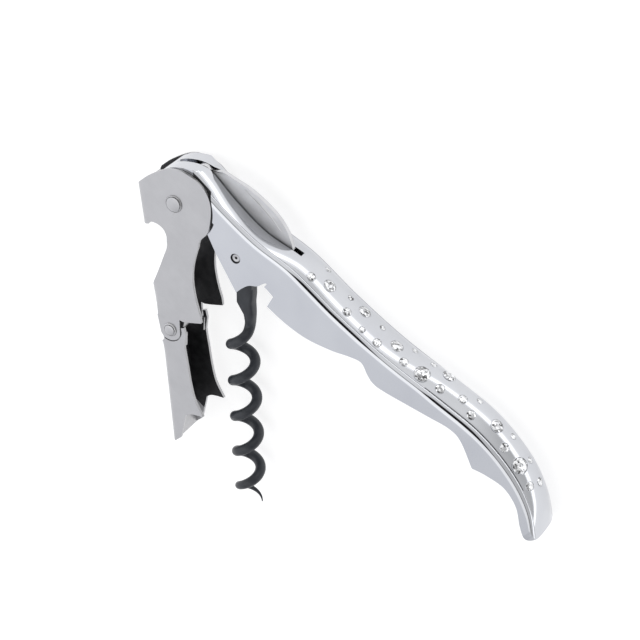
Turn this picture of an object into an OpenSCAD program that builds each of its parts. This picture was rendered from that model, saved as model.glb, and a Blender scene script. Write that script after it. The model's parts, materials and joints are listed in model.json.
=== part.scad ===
// Two-step lever corkscrew: a jewelled handle with a folding foil knife, a worm and a hinged lever.
// It lies on one side. +X runs from the lever head to the tail, +Y towards the handle's back
// and +Z along the hinge pins. Outlines are drawn in [x, y] near the lever pivot, with z = 0 on
// the middle plane, and placed() moves every piece to the resting place at once.

/* [Handle] */
// Width across the handle's flat sides
handle_w = 12.4; // [12.4:0.1:13]
// Width of the narrow channel round the worm's flat eye
shank_w = 6.4; // [6:0.1:6.6]
// Width of the channel that the worm folds into
channel_w = 8.5; // [8.5:0.05:8.7]
// Depth of the flat seats that the lever cheeks lie in, on each side
ear_inset = 1.6; // [1.6:0.05:1.8]
// Height of the rounded edge above each flat side
shoulder_h = 1.25; // [0.9:0.05:1.5]

/* [Lever] */
// Width across the lever's cheeks
lever_w = 11; // [11:0.1:11.3]
// Thickness of the lever's sheet steel
sheet_t = 0.8; // [0.7:0.1:0.8]
// Radius of the pin that the lever swings on
lever_pin_r = 1.6; // [1.3:0.1:1.8]
// Radius of the pin between the two lever arms
lower_pin_r = 1.3; // [1:0.1:1.4]

/* [Worm] */
// Outer diameter of the worm
worm_od = 8.2; // [7:0.1:8.2]
// Diameter of the worm's wire
wire_d = 2.6; // [2:0.1:2.6]
// Distance from one turn to the next
worm_pitch = 10.1; // [8:0.1:10.1]
// Number of turns, with the pointed one
worm_turns = 4.9; // [3:0.1:4.9]
// Thickness of the flat eye that the worm hangs from
eye_t = 3.4; // [3:0.1:4]
// Radius of the tubular pin through the eye
worm_pin_r = 1.25; // [1:0.05:1.4]

/* [Knife] */
// Thickness of the knife blade
blade_t = 1.2; // [0.8:0.1:1.2]
// Width of the slot that the blade folds into
slot_w = 1.7; // [1.7:0.1:2]
// Radius of the knife's pin
knife_pin_r = 1; // [0.8:0.05:1.1]

/* [Crystals] */
// Diameter of the smallest crystals
small_d = 1.6; // [1.2:0.1:1.7]
// Diameter of the medium crystals
medium_d = 2.2; // [2:0.1:2.4]
// Diameter of the large crystals
large_d = 3.2; // [2.8:0.1:3.4]
// Diameter of the two largest crystals
jumbo_d = 3.9; // [3.6:0.1:4]

/* [Hidden] */

$fn = 48;
// Middle of the whole piece's length and height, which the resting place is centred on
x_mid = 52.28;
y_mid = -14.73;

// Hinge centres
lever_pivot = [0.4, 0.5];
lower_pivot = [20.2, -27.4];
worm_pivot = [19.4, 2];
knife_pivot = [0.2, 9];
// Direction that the worm points in, and the direction that it folds up to
worm_angle = -48.6;
folded_angle = 12.9;

half_w = handle_w / 2;
ear_z = half_w - ear_inset;
cheek_in = lever_w / 2 - sheet_t;
cheek_out = lever_w / 2;
rivet_top = half_w - 0.07;
// Play round a pin that is held fast, and round one that turns
held_gap = 0.03;
turn_gap = 0.05;

// End of the handle's tail
tail_x = 113.76;

// Dome along the handle's back: its half width and how square its section is
dome_half = 5.1;
dome_power = 2.4;
// Height of the back's middle line, and of the ledge that the dome rises from
spine_points = [[-11.6, 11.3], [0.9, 11.6], [10.3, 10.9], [20.2, 11.2], [31.2, 14.1], [45, 14.6],
    [59.7, 16.2], [74.3, 20.2], [86.9, 22.3], [98.8, 21], [107.9, 16.9], [115.5, 9.9]];
ledge_points = [[-11.1, 9.9], [1.2, 10.2], [10.5, 10.1], [20.4, 10.7], [31.2, 12.8], [45, 13.4],
    [59.6, 15], [74.2, 17.9], [86.7, 19.9], [98.4, 18.9], [107.5, 15.4], [115, 9.5]];

// Crystals on the back, as [x, z]
small_spots = [[36, -2.6], [44.3, -1.1], [51.3, 3.8], [54.3, -1.1], [63.2, -2.2], [68.4, -1.7],
    [81.4, -0.9], [92.4, -0.4], [99, -0.5]];
medium_spots = [[34.6, 3.4], [46, 3.1], [55.8, 3.7], [63.1, 3.2], [73.1, 3.4], [78.3, 2.1],
    [82.1, 3.7], [92.6, 3.5], [104.3, -0.2], [103.1, 3.4]];
large_spots = [[39, 1.3], [48.8, -1], [59.5, 0.6], [72.6, -1.5], [88, 1.4]];
jumbo_spots = [[67.9, 3], [98.1, 3.1]];

// ---- curves ----

function arc(centre, r, from, to, steps = 8) =
    [for (i = [0 : steps]) let (a = from + (to - from) * i / steps) centre + r * [cos(a), sin(a)]];

// Smooth curve through four points in turn, t from 0 at b to 1 at c
function bend(a, b, c, d, t) =
    b + 0.5 * t * (c - a + t * (2 * a - 5 * b + 4 * c - d + t * (3 * (b - c) + d - a)));

// Smooth curve through every point of a list, with some steps between each two
function smooth(p, steps = 4) = concat(
    [for (i = [0 : len(p) - 2], k = [0 : steps - 1])
        bend(p[max(i - 1, 0)], p[i], p[i + 1], p[min(i + 2, len(p) - 1)], k / steps)],
    [p[len(p) - 1]]);

spine_curve = smooth(spine_points, 6);
ledge_curve = smooth(ledge_points, 6);
function spine(x) = lookup(x, spine_curve);
function ledge(x) = lookup(x, ledge_curve);

// Height of the dome's surface, and the direction that it faces
function dome(x, z) = ledge(x) + (spine(x) - ledge(x)) * (1 - pow(abs(z) / dome_half, dome_power));
function dome_normal(x, z) = let (
    d = 0.5,
    slope_x = (dome(x + d, z) - dome(x - d, z)) / (2 * d),
    slope_z = (dome(x, z + d) - dome(x, z - d)) / (2 * d),
    n = [-slope_x, 1, -slope_z]) n / norm(n);

// ---- shared shapes ----

module placed() translate([-x_mid, -y_mid, half_w]) children();

// Solid through a list of rings of points, closed at both ends
module loft(rings) {
    m = len(rings[0]);
    last = (len(rings) - 1) * m;
    sides = [for (i = [0 : len(rings) - 2], j = [0 : m - 1]) let (k = (j + 1) % m)
        each [[i * m + j, i * m + k, (i + 1) * m + k], [i * m + j, (i + 1) * m + k, (i + 1) * m + j]]];
    polyhedron(
        points = [for (ring = rings) each ring],
        faces = concat(sides, [[for (j = [m - 1 : -1 : 0]) j]], [[for (j = [0 : m - 1]) last + j]]));
}

// Plate with an outline, from one height to another
module plate(z0, z1) translate([0, 0, z0]) linear_extrude(z1 - z0) children();

// The same plate on both sides of the middle plane
module both_sides(z0, z1) {
    plate(z0, z1) children();
    plate(-z1, -z0) children();
}

module rod(at, r, z0, z1) translate([at.x, at.y, z0]) cylinder(h = z1 - z0, r = r);

// Ring round a hinge on both sides of the middle plane
module rings(at, r_out, r_in, z0, z1) both_sides(z0, z1) difference() {
    translate(at) circle(r_out);
    translate(at) circle(r_in);
}

// Bent sheet that joins two cheeks, along a line of their outline
module web(from, to) {
    along = (to - from) / norm(to - from);
    inward = sheet_t * [-along.y, along.x];
    plate(-cheek_out, cheek_out) polygon([from, to, to + inward, from + inward]);
}

// Pin with a low domed head on each end
module riveted_pin(at, shaft_r, head) translate([at.x, at.y, 0]) {
    cylinder(h = 2 * cheek_out + 2 * held_gap, r = shaft_r, center = true);
    for (flip = [0, 180]) rotate([flip, 0, 0]) translate([0, 0, cheek_out + held_gap])
        cylinder(h = rivet_top - cheek_out - held_gap, r1 = head, r2 = head - 0.5);
}

// ---- handle ----

// One cut across the handle's upper part; it stands out past the flat sides, which are cut later
function handle_ring(x) = let (
    edge = [
        [half_w + 1, -14],
        [half_w + 1, ledge(x) - shoulder_h - 0.4],
        [half_w + 0.12, ledge(x) - shoulder_h],
        [half_w - 0.25, ledge(x) - shoulder_h / 2],
        [half_w - 0.75, ledge(x) - 0.1],
        [dome_half + 0.15, ledge(x)],
        [dome_half, ledge(x) - 0.25]],
    back = [for (k = [-6 : 6]) let (z = -k / 6.3 * dome_half) [z, dome(x, z)]],
    half_ring = [for (p = edge) [x, p.y, p.x]])
    concat(half_ring, [for (p = back) [x, p.y, p.x]],
        [for (i = [len(edge) - 1 : -1 : 0]) [x, edge[i].y, -edge[i].x]]);

// Outline from the side, with its top left open for the dome
nose = concat(
    smooth([[0.7, 11.7], [-1.9, 10.5], [-3.9, 8.9], [-5.6, 7], [-6.9, 4.6]]),
    smooth([[-7, 4.2], [-6.9, 0.4], [-6.5, -3], [-3.7, -5.5], [0.2, -6.3], [4.8, -4.9], [9, -1],
        [10.9, 0.8]]));
shank_notch = smooth([[25.1, -4.9], [25.3, -3], [26, -0.7], [27.5, 1.1], [28.3, 3.4], [29.4, 3.9],
    [31.9, 3.8]], 3);
belly = smooth([[32.5, 0.5], [38, 1], [44, 2.5], [49.9, 5.5], [53.8, 8.2], [56.7, 9.6], [59.7, 8.5],
    [62.2, 8], [65.6, 8.9], [75.3, 12.9], [81, 15.2], [84.9, 15.2], [91.4, 12.2]], 3);
tail = smooth([[91.4, 12.2], [94.7, 13.8], [99.5, 15.1], [104.5, 13.9], [108.7, 10.8], [111.8, 9.3],
    [113.6, 10.9], [tail_x, 12.9]], 3);
module handle_outline()
    polygon(concat([[tail_x, 30], [0.7, 30]], nose, [[15.2, -1.2]], shank_notch, belly, tail));

// Outline from above, in [x, z], with rounded corners at the tail's end
module outline_above() hull() {
    translate([-20, -half_w]) square([1, handle_w]);
    for (side = [-1, 1]) translate([tail_x - 3.3, side * (half_w - 2)]) scale([3.3, 2]) circle(1);
}

// Flat seats in both sides, round the lever head and under the folded lever
module ear_outline() {
    translate(lever_pivot) circle(10.8, $fn = 96);
    polygon([[0.5, -20], [28.8, -20], [28.8, 4.9], [28, 5.6], [0.5, 5.6]]);
}

// A place beside the folded worm: along it from its pivot, and to its upper side
function beside_worm(along, up) =
    worm_pivot + along * [cos(folded_angle), sin(folded_angle)]
        + up * [-sin(folded_angle), cos(folded_angle)];

// Outline of the space for the folded worm, up to a height beside its middle line
module worm_space(start, up) polygon([[beside_worm(start, up).x, -20], beside_worm(start, up),
    beside_worm(66, up), beside_worm(73, min(up, 0.8)), [beside_worm(73, 0.8).x, -20]]);
module channel() {
    plate(-shank_w / 2, shank_w / 2) polygon([[15.5, -20], [15.5, 2], [16.7, 4.6], beside_worm(0, 3.6),
        beside_worm(21, 3.6), beside_worm(23, 2.4), [beside_worm(23, 2.4).x, -20]]);
    plate(-channel_w / 2, channel_w / 2) worm_space(18, -0.4);
    plate(-channel_w / 2 + 0.3, channel_w / 2 - 0.3) worm_space(18, 0.9);
    plate(-channel_w / 2 + 1.1, channel_w / 2 - 1.1) worm_space(18, 2.4);
}

module slot_outline()
    polygon([[-12, 30], [-12, 5.8], [16.5, 5.8], [19, 6.8], [24, 8.6], [29.5, 10.6], [29.5, 30]]);

// Stands its children on the back at a spot, with +Z along the surface's own direction
module on_back(spot) {
    n = dome_normal(spot.x, spot.y);
    translate([spot.x, dome(spot.x, spot.y), spot.y])
        rotate([0, acos(n.z), atan2(n.y, n.x)]) children();
}

function seat_depth(d) = 0.3 * d;

module crystal_seats(spots, d) for (spot = spots)
    on_back(spot) translate([0, 0, -seat_depth(d)]) cylinder(h = 3, d = d + 2 * held_gap);

module handle_body() color("gainsboro") placed() difference() {
    intersection() {
        loft([for (x = [-11 : 2.5 : 116.5]) handle_ring(x)]);
        plate(-half_w, half_w) handle_outline();
        rotate([90, 0, 0]) linear_extrude(80, center = true) outline_above();
    }
    both_sides(ear_z, half_w + 2) ear_outline();
    channel();
    plate(-slot_w / 2, slot_w / 2) slot_outline();
    rod(lever_pivot, lever_pin_r + 0.8 + held_gap, -half_w - 2, half_w + 2);
    rings(lever_pivot, 3.9, 0.5, ear_z - 0.45, half_w + 2);
    rod(worm_pivot, worm_pin_r + held_gap, -ear_z - 1, ear_z + 1);
    rod(knife_pivot, knife_pin_r + held_gap, -ear_z - 1, ear_z + 1);
    rod(stop_pivot, stop_pin_r + held_gap, -ear_z - 1, ear_z + 1);
    crystal_seats(small_spots, small_d);
    crystal_seats(medium_spots, medium_d);
    crystal_seats(large_spots, large_d);
    crystal_seats(jumbo_spots, jumbo_d);
}

// ---- crystals ----

// Flat-backed stone: a girdle, a faceted crown and a flat table
module crystal(d) translate([0, 0, held_gap - seat_depth(d)]) {
    cylinder(h = seat_depth(d), d = d, $fn = 12);
    translate([0, 0, seat_depth(d)]) cylinder(h = 0.14 * d, d1 = d, d2 = 0.6 * d, $fn = 12);
}

module crystals(spots, d) color("aliceblue") placed() for (spot = spots) on_back(spot) crystal(d);
module crystals_small() crystals(small_spots, small_d);
module crystals_medium() crystals(medium_spots, medium_d);
module crystals_large() crystals(large_spots, large_d);
module crystals_jumbo() crystals(jumbo_spots, jumbo_d);

// ---- knife ----

stop_pivot = [-4.8, 5.2];
stop_pin_r = 0.5;
tang_r = 2.3;
blade_back = smooth([[3, 13.6], [6.6, 14.7], [10.6, 15.9], [15.5, 16.5], [19.4, 16.4], [22.9, 15.6],
    [25.3, 14.4], [27.3, 13]], 3);
blade_edge = smooth([[27.3, 13], [23.7, 10.5], [19.2, 8.8], [3.3, 8.2]], 3);
module blade_outline() difference() {
    union() {
        translate(knife_pivot) circle(tang_r);
        polygon(concat([[0.4, 11], [1.3, 11.6]], blade_back, blade_edge, [[1.9, 7.8], [1.6, 9.4]]));
    }
    translate(knife_pivot) circle(knife_pin_r + turn_gap);
}
module knife_blade() color("silver") placed() difference() {
    plate(-blade_t / 2, blade_t / 2) blade_outline();
    for (side = [-1, 1]) translate([15, 15.2, side * blade_t / 2]) cube([10, 0.6, 0.3], center = true);
}
module knife_pin() color("darkgray") placed() rod(knife_pivot, knife_pin_r, -ear_z + 0.02, ear_z - 0.02);
module knife_washers() color("goldenrod") placed()
    rings(knife_pivot, 2, knife_pin_r + held_gap, blade_t / 2 + 0.02, slot_w / 2 - 0.02);
module knife_stop_pin() color("darkgray") placed() rod(stop_pivot, stop_pin_r, -ear_z + 0.1, ear_z - 0.1);

// Leaf spring under the knife's tang, bowed up to it
module back_spring() color("slategray") placed() plate(-slot_w / 2 + 0.1, slot_w / 2 - 0.1)
    polygon(concat(smooth([[-2.4, 5.85], [4, 6.05], [10, 5.95], [16, 5.85]]),
        smooth([[16, 6.4], [10, 6.5], [4, 6.6], [-2.4, 6.4]])));

// ---- lever ----

lug_r = 2.9;
// Outline of the upper arm's cheek: head, cap lifter, mouth, back, lug, first step, front
head = smooth([[11.5, -3.3], [10.7, -1.6], [10.8, 0.2], [10.7, 1.9], [9.8, 4], [8.2, 6.6],
    [6.5, 8.4], [4.3, 9.6], [1.3, 10], [-1.6, 9.4], [-4, 8.2], [-6, 6.3], [-7.4, 3.6], [-8.6, 0.2],
    [-9.2, -2.8]]);
lifter = [[-9, -3.7], [-1.9, -10.5], [-0.9, -9.4]];
mouth = smooth([[-0.9, -8.5], [-0.2, -7.9], [1.1, -7.3], [2.6, -7.2], [4, -7.8], [4.9, -8.7],
    [6.1, -10.3], [7.1, -13.3], [8.2, -16.7], [9.5, -21.2]], 3);
upper_back = [[9.9, -22.2], [15.4, -27]];
claw = [[20.2, -23.1], [21.1, -22.7], [22.5, -21.2], [24.5, -18.8], [23, -17.4]];
upper_front = smooth([[23, -17.4], [20, -15.3], [17.2, -12.9], [15.4, -10.9], [13.9, -8.7],
    [12.6, -6.1], [11.5, -3.3]], 3);
module upper_cheek() difference() {
    polygon(concat(head, lifter, mouth, upper_back, [[19, -30]], arc(lower_pivot, lug_r, 250, 380), claw,
        upper_front));
    translate(lever_pivot) circle(lever_pin_r + turn_gap);
    translate(lower_pivot) circle(lower_pin_r + held_gap);
}
module lever_upper() color("lightgray") placed() {
    both_sides(cheek_in, cheek_out) upper_cheek();
    web([-8.95, -3.75], lifter[1]);
    plate(-cheek_out, cheek_out) polygon([lifter[1], lifter[2], [-1.4, -8.7], [-2.5, -9.8]]);
    web([9.7, -21.9], upper_back[1]);
}
module lever_pin() color("silver") placed() riveted_pin(lever_pivot, lever_pin_r, 2.2);
module lever_bushing() color("goldenrod") placed() difference() {
    rod(lever_pivot, lever_pin_r + 0.8, -ear_z + 0.5, ear_z - 0.5);
    rod(lever_pivot, lever_pin_r + held_gap, -ear_z, ear_z);
}
module lever_washers() color("goldenrod") placed()
    rings(lever_pivot, 3.8, lever_pin_r + held_gap, ear_z - 0.43, cheek_in - 0.03);

// Outline of the lower arm's cheek, cut clear of the upper arm's lug
lower_back = [[20.8, -32], [40, -52.2]];
lower_front = smooth([[25.6, -28], [27.3, -29.6], [29.2, -31.3], [33, -34.8], [36.7, -37.6],
    [41, -39.4]], 3);
module lower_cheek() difference() {
    polygon(concat([lower_back[0], [39.3, -52.3], [40.5, -51.6], [40.9, -49.6]],
        smooth([[37.8, -43.3], [38.5, -41.6], [41, -39.4]]),
        [for (i = [len(lower_front) - 2 : -1 : 0]) lower_front[i]],
        [[23.9, -25.2], [22.3, -23.9], [21.5, -25.2], lower_pivot]));
    translate(lower_pivot) circle(lug_r + 0.3);
}
// Where the tabs, which sit inside the upper arm, meet the lower cheeks
module tab_strip() intersection() {
    polygon([[18.4, -29.6], [22.4, -33.4], [26.2, -29], [23.5, -25.3]]);
    translate(lower_pivot) circle(5.4);
}
module lower_tab() difference() {
    union() {
        translate(lower_pivot) circle(2.5);
        tab_strip();
    }
    translate(lower_pivot) circle(lower_pin_r + turn_gap);
}
tab_out = cheek_in - 0.06;
tab_in = tab_out - sheet_t;
module lever_lower() color("lightgray") placed() {
    both_sides(cheek_in, cheek_out) lower_cheek();
    both_sides(tab_in, tab_out) lower_tab();
    both_sides(tab_in, cheek_out) intersection() {
        lower_cheek();
        tab_strip();
    }
    web(lower_back[0], lower_back[1]);
}
module lower_pin() color("silver") placed() riveted_pin(lower_pivot, lower_pin_r, 1.8);
module lower_sleeve() color("darkgray") placed() difference() {
    rod(lower_pivot, lower_pin_r + 0.6, -tab_in + 0.55, tab_in - 0.55);
    rod(lower_pivot, lower_pin_r + held_gap, -tab_in, tab_in);
}
module lower_washers() color("goldenrod") placed()
    rings(lower_pivot, 2.3, lower_pin_r + held_gap, tab_in - 0.52, tab_in - 0.03);

// ---- worm ----

// The worm is drawn along +X from its pivot, then turned to worm_angle
helix_r = (worm_od - wire_d) / 2;
// Where the coil starts, how far its middle line lies beside the pivot, and its first angle
coil_start = 24.6;
coil_side = -2;
coil_phase = 127.6;
run_in = 120;
taper = 320;
turn_end = worm_turns * 360 - run_in;

function coil_r(t) = helix_r - 0.8 * max(0, -t) / run_in;
function coil_centre(t) = [coil_start + worm_pitch * t / 360,
    coil_side + coil_r(t) * cos(t + coil_phase), coil_r(t) * sin(t + coil_phase)];
function coil_wire_r(t) = wire_d / 2 * (1 - 0.9 * pow(max(0, t - turn_end + taper) / taper, 1.5));
function coil_ring(t) = let (
    outward = [0, cos(t + coil_phase), sin(t + coil_phase)],
    round = [0, -sin(t + coil_phase), cos(t + coil_phase)],
    rise = worm_pitch / (2 * PI),
    across = [coil_r(t), -rise * round.y, -rise * round.z] / norm([coil_r(t), rise]))
    [for (k = [0 : 7])
        coil_centre(t) + coil_wire_r(t) * (cos(45 * k) * outward + sin(45 * k) * across)];

module eye_outline() difference() {
    union() {
        circle(2.8);
        polygon([[0, 2.8], [9, 2.2], [15, 1.9], [16.2, 1.7], [16.2, -0.7], [14, -2.6],
            [11.1, -2.6], [0, -2.8]]);
    }
    circle(worm_pin_r + turn_gap);
}
module worm() color("#2b2d31") placed() translate(concat(worm_pivot, 0)) rotate([0, 0, worm_angle]) {
    plate(-eye_t / 2, eye_t / 2) eye_outline();
    hull() {
        translate([15.8, 0.5, 0]) cube([0.8, 2.3, eye_t - 0.4], center = true);
        translate(coil_centre(-run_in)) sphere(d = wire_d, $fn = 24);
    }
    loft([for (t = [-run_in : 20 : turn_end]) coil_ring(t)]);
}
module worm_pin() color("gray") placed() difference() {
    rod(worm_pivot, worm_pin_r, -ear_z + 0.02, ear_z - 0.02);
    rod(worm_pivot, 0.55, -ear_z - 1, ear_z + 1);
}
module worm_spacers() color("darkgray") placed()
    rings(worm_pivot, 2.7, worm_pin_r + held_gap, eye_t / 2 + 0.05, shank_w / 2 - 0.05);

handle_body();
crystals_small();
crystals_medium();
crystals_large();
crystals_jumbo();
knife_blade();
knife_pin();
knife_washers();
knife_stop_pin();
back_spring();
lever_upper();
lever_pin();
lever_bushing();
lever_washers();
lever_lower();
lower_pin();
lower_sleeve();
lower_washers();
worm();
worm_pin();
worm_spacers();
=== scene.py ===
import bpy
import bmesh
import json
import math
import random
from mathutils import Matrix, Vector


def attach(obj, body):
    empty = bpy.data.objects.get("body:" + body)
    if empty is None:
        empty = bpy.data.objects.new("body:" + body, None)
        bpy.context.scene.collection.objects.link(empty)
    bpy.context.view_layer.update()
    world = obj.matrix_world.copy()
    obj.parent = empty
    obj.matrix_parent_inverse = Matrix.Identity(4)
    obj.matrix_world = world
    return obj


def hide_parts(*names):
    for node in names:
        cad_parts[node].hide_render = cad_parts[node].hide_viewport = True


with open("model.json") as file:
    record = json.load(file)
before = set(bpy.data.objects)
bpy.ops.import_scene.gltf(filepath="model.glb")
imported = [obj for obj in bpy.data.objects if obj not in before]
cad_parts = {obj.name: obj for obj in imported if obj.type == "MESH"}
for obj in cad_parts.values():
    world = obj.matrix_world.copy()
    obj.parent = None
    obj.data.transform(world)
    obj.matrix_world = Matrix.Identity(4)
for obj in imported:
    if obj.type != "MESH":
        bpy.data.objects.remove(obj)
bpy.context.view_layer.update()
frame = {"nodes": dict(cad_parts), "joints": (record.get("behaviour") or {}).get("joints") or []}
random.seed(7)

# Outlines are in millimetres round the lever's pivot, with z = 0 on the middle plane. SHIFT takes them to
# the frame.
MM = 0.001
# The hinges' axes
LEVER = (0.4, 0.5)
LOWER = (20.2, -27.4)
WORM = (19.4, 2.0)
KNIFE = (0.2, 9.0)
PIVOT = Vector(next(j["pos_m"] for j in frame["joints"] if j["name"] == "lever_pivot"))
SHIFT = PIVOT - Vector((LEVER[0], LEVER[1], 0)) * MM
# Distances from the middle plane: the flat side, the ears' floors, the lever's cheeks, the rivets, the dome
HALF_W = 6.2
EAR_Z = 4.6
CHEEK_IN = 4.7
CHEEK_OUT = 5.5
RIVET_TOP = HALF_W - 0.07
DOME_HALF = 5.1
# The lever's sheet is this thick
SHEET = CHEEK_OUT - CHEEK_IN
# The ears' floors are round here, about the lever's pivot
EAR_R = 10.8
TAIL_X = 113.76
# The worm's direction, as it hangs and when it is folded
WORM_ANGLE = math.radians(-48.6)
FOLDED = math.radians(12.9)
# Cutters reach this far to both sides of the middle plane
PAST = 9


def at(x, y, z):
    return SHIFT + Vector((x, y, z)) * MM


# ---- curves ----

def smooth(points, steps=8):
    """Catmull-Rom curve through every point."""
    out = []
    for i in range(len(points) - 1):
        a, b = points[max(i - 1, 0)], points[i]
        c, d = points[i + 1], points[min(i + 2, len(points) - 1)]
        for k in range(steps):
            t = k / steps
            out.append(tuple(
                q + 0.5 * t * (r - p + t * (2 * p - 5 * q + 4 * r - s + t * (3 * (q - r) + s - p)))
                for p, q, r, s in zip(a, b, c, d)))
    return out + [tuple(points[-1])]


def around(centre, radius, degrees):
    angle = math.radians(degrees)
    return (centre[0] + radius * math.cos(angle), centre[1] + radius * math.sin(angle))


def arc(centre, radius, start, end, steps=24):
    return [around(centre, radius, start + (end - start) * i / steps) for i in range(steps + 1)]


def lookup(x, table):
    """Straight-line value at x in a table of (x, value)."""
    for (x0, y0), (x1, y1) in zip(table, table[1:]):
        if x <= x1:
            return y0 + (y1 - y0) * (x - x0) / (x1 - x0)
    return table[-1][1]


# The back's ridge, and the foot of its dome on both sides
SPINE = smooth([(-11.6, 11.3), (0.9, 11.6), (10.3, 10.9), (20.2, 11.2), (31.2, 14.1), (45, 14.6),
                (59.7, 16.2), (74.3, 20.2), (86.9, 22.3), (98.8, 21), (107.9, 16.9), (115.5, 9.9)], 16)
LEDGE = smooth([(-11.1, 9.9), (1.2, 10.2), (10.5, 10.1), (20.4, 10.7), (31.2, 12.8), (45, 13.4),
                (59.6, 15), (74.2, 17.9), (86.7, 19.9), (98.4, 18.9), (107.5, 15.4), (115, 9.5)], 16)


def dome(x, z):
    ledge = lookup(x, LEDGE)
    return ledge + (lookup(x, SPINE) - ledge) * (1 - abs(z / DOME_HALF) ** 2.4)


def dome_normal(x, z, d=0.5):
    return Vector((-(dome(x + d, z) - dome(x - d, z)) / (2 * d), 1,
                   -(dome(x, z + d) - dome(x, z - d)) / (2 * d))).normalized()


# ---- meshes ----

def from_bmesh(name, bm, recalc=True):
    if recalc:
        bmesh.ops.recalc_face_normals(bm, faces=bm.faces)
    mesh = bpy.data.meshes.new(name)
    bm.to_mesh(mesh)
    bm.free()
    piece = bpy.data.objects.new(name, mesh)
    bpy.context.scene.collection.objects.link(piece)
    return piece


def prism(name, low, high):
    """Solid between two rings with the same number of points."""
    bm = bmesh.new()
    sweep(bm, [low, high])
    return from_bmesh(name, bm)


def plate(name, outline, z0, z1):
    """Plate with a straight edge between two heights; its outline is in millimetres."""
    return prism(name, [at(x, y, z0) for x, y in outline], [at(x, y, z1) for x, y in outline])


def rod(name, centre, radius, z0, z1, steps=64):
    return plate(name, arc(centre, radius, 0, 360 - 360 / steps, steps - 1), z0, z1)


def drill(centre, radius, reach=PAST, steps=64):
    """Round cutter that reaches as far on both sides of the middle plane."""
    return rod("drill", centre, radius, -reach, reach, steps)


def lathe(name, profile, centre, steps=96):
    """Turned piece: its profile is (radius, z), between two ends on the axis or as a closed loop."""
    bm = bmesh.new()
    rows = []
    for r, z in profile:
        if r == 0:
            rows.append([bm.verts.new(at(centre[0], centre[1], z))])
        else:
            rows.append([bm.verts.new(at(centre[0] + r * math.cos(2 * math.pi * i / steps),
                                         centre[1] + r * math.sin(2 * math.pi * i / steps), z))
                         for i in range(steps)])
    closed = profile[0] == profile[-1]
    if closed:
        rows[-1] = rows[0]
    for a, b in zip(rows, rows[1:]):
        for i in range(steps):
            j = (i + 1) % steps
            if len(a) == 1:
                bm.faces.new((a[0], b[i], b[j]))
            elif len(b) == 1:
                bm.faces.new((a[i], b[0], a[j]))
            else:
                bm.faces.new((a[i], b[i], b[j], a[j]))
    bmesh.ops.delete(bm, geom=[v for v in bm.verts if not v.link_faces], context="VERTS")
    return from_bmesh(name, bm)


def sweep(bm, rings):
    """Closed skin over rings with the same number of points."""
    rows = [[bm.verts.new(p) for p in ring] for ring in rings]
    for a, b in zip(rows, rows[1:]):
        for i in range(len(a)):
            j = (i + 1) % len(a)
            bm.faces.new((a[i], a[j], b[j], b[i]))
    bm.faces.new(rows[0])
    bm.faces.new(rows[-1])


def boolean(piece, others, operation="DIFFERENCE"):
    """Applies one exact boolean with all the other pieces, and removes them."""
    group = bpy.data.collections.new("cutters")
    bpy.context.scene.collection.children.link(group)
    for o in others:
        for c in list(o.users_collection):
            c.objects.unlink(o)
        group.objects.link(o)
    mod = piece.modifiers.new("cut", "BOOLEAN")
    mod.operation = operation
    mod.solver = "EXACT"
    mod.operand_type = "COLLECTION"
    mod.collection = group
    apply(piece)
    for o in others:
        bpy.data.objects.remove(o)
    bpy.data.collections.remove(group)
    return piece


def apply(piece):
    dg = bpy.context.evaluated_depsgraph_get()
    mesh = bpy.data.meshes.new_from_object(piece.evaluated_get(dg))
    piece.modifiers.clear()
    piece.data = mesh
    piece.data.name = piece.name


def finish_mesh(piece, angle, bevel=0.0, weighted=True):
    """Rounds the edges that are sharper than an angle, and shades the rest smooth."""
    if bevel:
        mod = piece.modifiers.new("bevel", "BEVEL")
        mod.width = bevel * MM
        mod.segments = 2
        mod.limit_method = "ANGLE"
        mod.angle_limit = math.radians(angle)
        mod.use_clamp_overlap = True
        mod.miter_outer = "MITER_ARC"
        apply(piece)
    piece.data.shade_smooth()
    bm = bmesh.new()
    bm.from_mesh(piece.data)
    for e in bm.edges:
        e.smooth = not (len(e.link_faces) == 2 and e.calc_face_angle(0) > math.radians(angle + 8))
    bm.to_mesh(piece.data)
    bm.free()
    if weighted:
        mod = piece.modifiers.new("normals", "WEIGHTED_NORMAL")
        mod.keep_sharp = True
        mod.weight = 60
        apply(piece)
    return piece


def two_tone(piece, plain, in_painted_shade):
    """Faces take the dark material, painted shade, where the test says so of their centre and normal."""
    piece.data.materials.clear()
    piece.data.materials.append(plain)
    piece.data.materials.append(PAINTED_SHADE)
    for face in piece.data.polygons:
        dark = in_painted_shade((face.center - SHIFT) / MM, face.normal)
        face.material_index = 1 if dark else 0
    return piece


def channel_inside(webs, shade_stop=None):
    """Test for a channel's inner faces, which take painted shade, but not past a corner where the steel is
    left plain. Each web is given by its outer line.
    """
    def in_painted_shade(c, n):
        if shade_stop and c.x > shade_stop[0] and c.y < shade_stop[1]:
            return False
        if abs(n.z) > 0.9 and abs(c.z) < CHEEK_IN + 0.06 and n.z * c.z < 0:
            return True
        for start, end in webs:
            along = Vector((end[0] - start[0], end[1] - start[1])).normalized()
            away = (c.y - start[1]) * along.x - (c.x - start[0]) * along.y
            faces_in = n.y * along.x - n.x * along.y > 0.8
            if abs(c.z) < CHEEK_IN and abs(away - SHEET) < 0.08 and faces_in:
                return True
        return False
    return in_painted_shade


def show(piece, body, look, slot, *nodes):
    """Gives a piece its material, unless it has its own, its body and the nodes it replaces; its slot is
    not used.
    """
    if look:
        piece.data.materials.clear()
        piece.data.materials.append(look)
    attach(piece, body)
    if nodes:
        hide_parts(*nodes)
    return piece


# ---- materials ----

def material(name, color, metallic, roughness, **sockets):
    mat = bpy.data.materials.new(name)
    mat.use_nodes = True
    shader = mat.node_tree.nodes["Principled BSDF"]
    shader.inputs["Base Color"].default_value = (*color, 1)
    shader.inputs["Metallic"].default_value = metallic
    shader.inputs["Roughness"].default_value = roughness
    for k, v in sockets.items():
        shader.inputs[k.replace("_", " ")].default_value = v
    return mat, shader


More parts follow.
